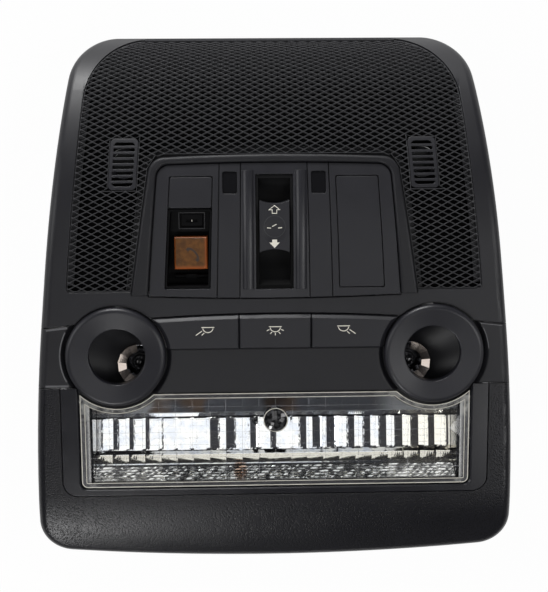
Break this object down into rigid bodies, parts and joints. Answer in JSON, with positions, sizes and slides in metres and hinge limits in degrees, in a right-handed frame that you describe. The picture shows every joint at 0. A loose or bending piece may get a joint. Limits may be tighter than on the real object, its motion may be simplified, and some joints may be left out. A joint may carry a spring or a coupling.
{
  "type": "car dome light",
  "caption": "Car roof console: dome lamp with a clear lens, reading lamps, push buttons, a roof switch, a call button compartment and a curved mesh grille.",
  "frame": {"origin": "below the middle of the console, on the surface that the back of the housing lies on", "axes": "+X to the right seen from the front, +Y towards the grille's nose, +Z out of the visible face"},
  "size_m": [0.2218, 0.2433, 0.0668],
  "materials": {
    "frame_plastic": "satin moulded, very fine grain",
    "grained_plastic": "matt moulded, coarse grain",
    "grille_plastic": "matt moulded mesh",
    "fleece_black": "pressed acoustic fleece",
    "switch_plastic": "matt soft paint",
    "key_plastic": "matt soft paint",
    "ring_plastic": "satin moulded",
    "lamp_black": "satin black moulded",
    "well_black": "matt black moulded",
    "bright_reflector": "vapour coated bright",
    "clear_lens": "clear polished plastic",
    "lamp_glass": "clear glass",
    "smoked_window": "smoked polished plastic",
    "amber_key": "translucent amber plastic",
    "inner_plastic": "plain moulded",
    "board_green": "solder resist",
    "mat_rubber": "matt silicone",
    "chip_white": "moulded chip",
    "mic_metal": "drawn can",
    "screw_steel": "zinc plated",
    "spring_steel": "bright spring steel",
    "contact_tin": "tinned"
  },
  "bodies": {
    "console": {"upper_frame": "frame_plastic", "centre_band": "frame_plastic", "lower_frame": "grained_plastic", "lens_bezel": "grained_plastic", "grille_mesh": "grille_plastic", "left_mic_vent": "grille_plastic", "right_mic_vent": "grille_plastic", "grille_fleece": "fleece_black", "switch_rim": "switch_plastic", "left_switch_panel": "switch_plastic", "right_switch_panel": "switch_plastic", "left_window_strip": "switch_plastic", "right_window_strip": "switch_plastic", "roof_switch_bezel": "switch_plastic", "blank_cover": "switch_plastic", "call_cover": "switch_plastic", "left_lamp_ring": "ring_plastic", "right_lamp_ring": "ring_plastic", "left_lamp_cone": "lamp_black", "right_lamp_cone": "lamp_black", "call_well": "well_black", "latch_housing": "well_black", "roof_switch_well": "well_black", "left_lamp_reflector": "bright_reflector", "right_lamp_reflector": "bright_reflector", "dome_reflector": "bright_reflector", "dome_lens": "clear_lens", "sensor_bead": "clear_lens", "left_lamp_bulb": "lamp_glass", "right_lamp_bulb": "lamp_glass", "dome_lamps": "lamp_glass", "left_window": "smoked_window", "right_window": "smoked_window", "switch_carrier": "inner_plastic", "rear_housing": "inner_plastic", "left_bulb_holder": "inner_plastic", "right_bulb_holder": "inner_plastic", "connector_socket": "inner_plastic", "circuit_board": "board_green", "switch_mat": "mat_rubber", "window_leds": "chip_white", "microphones": "mic_metal", "housing_screws": "screw_steel", "retaining_clips": "spring_steel", "connector_pins": "contact_tin"},
    "left_key": {"left_button": "key_plastic"},
    "centre_key": {"centre_button": "key_plastic"},
    "right_key": {"right_button": "key_plastic"},
    "call_key": {"call_button": "amber_key"},
    "latch": {"latch_plunger": "well_black"},
    "roof_slider": {"roof_switch_slider": "well_black"},
    "roof_cap": {"roof_switch_cap": "key_plastic"}
  },
  "joints": [
    {"name": "left_key_press", "type": "slide", "parent": "console", "child": "left_key", "axis": [0, 0, -1], "range_m": [0, 0.0015], "stiffness_N_per_m": 1200},
    {"name": "centre_key_press", "type": "slide", "parent": "console", "child": "centre_key", "axis": [0, 0, -1], "range_m": [0, 0.0015], "stiffness_N_per_m": 1200},
    {"name": "right_key_press", "type": "slide", "parent": "console", "child": "right_key", "axis": [0, 0, -1], "range_m": [0, 0.0015], "stiffness_N_per_m": 1200},
    {"name": "call_key_press", "type": "slide", "parent": "console", "child": "call_key", "axis": [0, 0, -1], "range_m": [0, 0.0018], "stiffness_N_per_m": 1000},
    {"name": "latch_press", "type": "slide", "parent": "console", "child": "latch", "axis": [0, 0, -1], "range_m": [0, 0.0024], "stiffness_N_per_m": 800},
    {"name": "roof_slide", "type": "slide", "parent": "console", "child": "roof_slider", "axis": [0, 1, 0], "range_m": [-0.003, 0.003], "stiffness_N_per_m": 900},
    {"name": "roof_cap_press", "type": "slide", "parent": "roof_slider", "child": "roof_cap", "axis": [0, 0, -1], "range_m": [0, 0.001], "stiffness_N_per_m": 1500}
  ]
}
